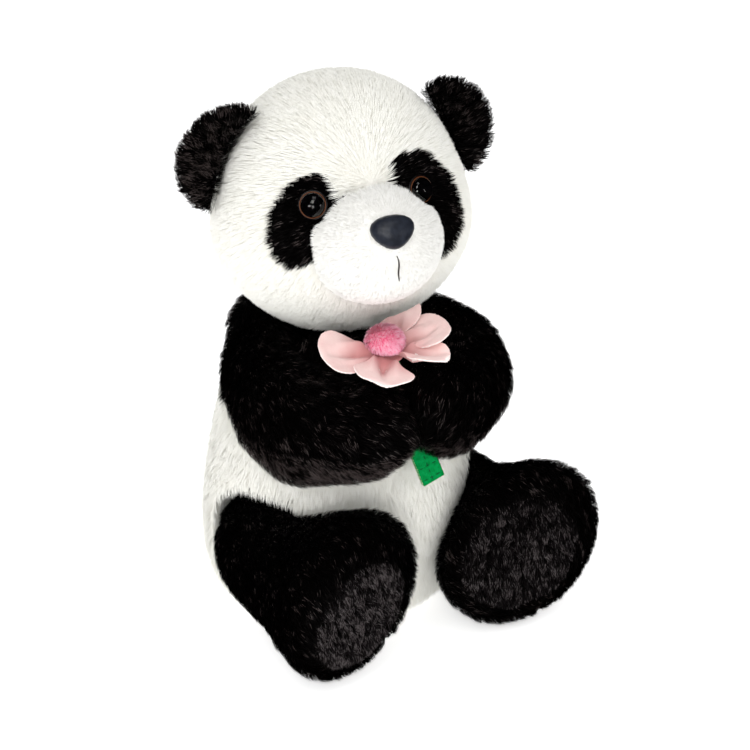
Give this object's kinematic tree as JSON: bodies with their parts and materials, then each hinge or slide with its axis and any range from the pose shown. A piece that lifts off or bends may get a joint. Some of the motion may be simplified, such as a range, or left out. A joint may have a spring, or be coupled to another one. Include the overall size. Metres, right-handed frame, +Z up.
{
  "type": "plush panda",
  "caption": "Seated soft-toy panda with a turning head, folding ears and hugging arms that hold a felt flower.",
  "frame": {"origin": "middle of the flat seat under the body, at the level of the floor it sits on", "axes": "+Z up from the seat to the crown, -Y the way the panda faces, +X its left side"},
  "size_m": [0.1884, 0.1785, 0.2678],
  "materials": {
    "white_plush": "soft cream-white pile, about 8 mm",
    "muzzle_plush": "short white pile",
    "black_plush": "black pile with warm brown-grey sheen, about 8 mm",
    "sole_plush": "short black pile",
    "fibre_stuffing": "polyester fibre",
    "pouch_cloth": "plain cotton pouch of plastic pellets",
    "petal_felt": "pale pink suede-like cloth with pale cut edges",
    "centre_plush": "short bright pink pile",
    "stem_felt": "green felt",
    "mouth_thread": "dark embroidery thread",
    "nose_plastic": "dark slate grain",
    "eye_plastic": "black with a thin amber rim",
    "eye_clear": "clear acrylic dome",
    "washer_plastic": "moulded white"
  },
  "bodies": {
    "torso": {"seat_panel": "white_plush", "belly_panel": "white_plush", "back_panel_right": "white_plush", "back_panel_left": "white_plush", "yoke_front": "black_plush", "yoke_back": "black_plush", "torso_stuffing": "fibre_stuffing", "pellet_pouch": "pouch_cloth", "tail": "white_plush"},
    "neck": {"neck_ring": "black_plush"},
    "head": {"head_gusset": "white_plush", "cheek_right": "white_plush", "cheek_left": "white_plush", "eye_patch_right": "black_plush", "eye_patch_left": "black_plush", "head_stuffing": "fibre_stuffing", "muzzle": "muzzle_plush", "muzzle_stuffing": "fibre_stuffing", "eye_plate_right": "eye_plastic", "eye_dome_right": "eye_clear", "eye_washer_right": "washer_plastic", "eye_plate_left": "eye_plastic", "eye_dome_left": "eye_clear", "eye_washer_left": "washer_plastic", "nose": "nose_plastic", "nose_washer": "washer_plastic", "mouth_stitch": "mouth_thread"},
    "ear_right": {"ear_right_front": "black_plush", "ear_right_back": "black_plush"},
    "ear_left": {"ear_left_front": "black_plush", "ear_left_back": "black_plush"},
    "arm_right": {"arm_right_upper": "black_plush", "arm_right_under": "black_plush", "arm_right_stuffing": "fibre_stuffing"},
    "arm_left": {"arm_left_upper": "black_plush", "arm_left_under": "black_plush", "arm_left_stuffing": "fibre_stuffing"},
    "leg_right": {"leg_right_upper": "black_plush", "leg_right_under": "black_plush", "sole_right": "sole_plush", "leg_right_stuffing": "fibre_stuffing"},
    "leg_left": {"leg_left_upper": "black_plush", "leg_left_under": "black_plush", "sole_left": "sole_plush", "leg_left_stuffing": "fibre_stuffing"},
    "flower": {"petal_1": "petal_felt", "petal_2": "petal_felt", "petal_3": "petal_felt", "petal_4": "petal_felt", "petal_5": "petal_felt", "flower_centre": "centre_plush", "flower_base": "stem_felt", "stem_front": "stem_felt", "stem_back": "stem_felt"}
  },
  "joints": [
    {"name": "head_turn", "type": "hinge", "parent": "torso", "child": "neck", "pos_m": [0, -0.005, 0.206], "axis": [0, 0, 1], "range_deg": [-25, 25]},
    {"name": "head_nod", "type": "hinge", "parent": "neck", "child": "head", "pos_m": [0, -0.005, 0.206], "axis": [0.9781, -0.2079, 0], "range_deg": [-8, 3]},
    {"name": "ear_right_fold", "type": "hinge", "parent": "head", "child": "ear_right", "pos_m": [-0.05021, 0.01385, 0.23092], "axis": [-0.458, -0.0464, -0.8877], "range_deg": [-12, 12], "stiffness_Nm_per_rad": 0.02},
    {"name": "ear_left_fold", "type": "hinge", "parent": "head", "child": "ear_left", "pos_m": [0.05176, -0.00724, 0.23451], "axis": [0.4609, -0.2365, -0.8554], "range_deg": [-12, 12], "stiffness_Nm_per_rad": 0.02},
    {"name": "arm_right_open", "type": "hinge", "parent": "torso", "child": "arm_right", "pos_m": [-0.039, -0.006, 0.129], "axis": [0, 0, -1], "range_deg": [0, 35]},
    {"name": "arm_left_open", "type": "hinge", "parent": "torso", "child": "arm_left", "pos_m": [0.039, -0.006, 0.129], "axis": [0, 0, 1], "range_deg": [0, 35]},
    {"name": "leg_right_spread", "type": "hinge", "parent": "torso", "child": "leg_right", "pos_m": [-0.044, -0.02, 0.043], "axis": [0, 0, -1], "range_deg": [0, 30]},
    {"name": "leg_left_spread", "type": "hinge", "parent": "torso", "child": "leg_left", "pos_m": [0.05, -0.018, 0.041], "axis": [0, 0, 1], "range_deg": [0, 30]},
    {"name": "flower_sway", "type": "hinge", "parent": "arm_left", "child": "flower", "pos_m": [0.001, -0.072, 0.112], "axis": [0, -0.995, 0.0995], "range_deg": [-6, 6]}
  ]
}
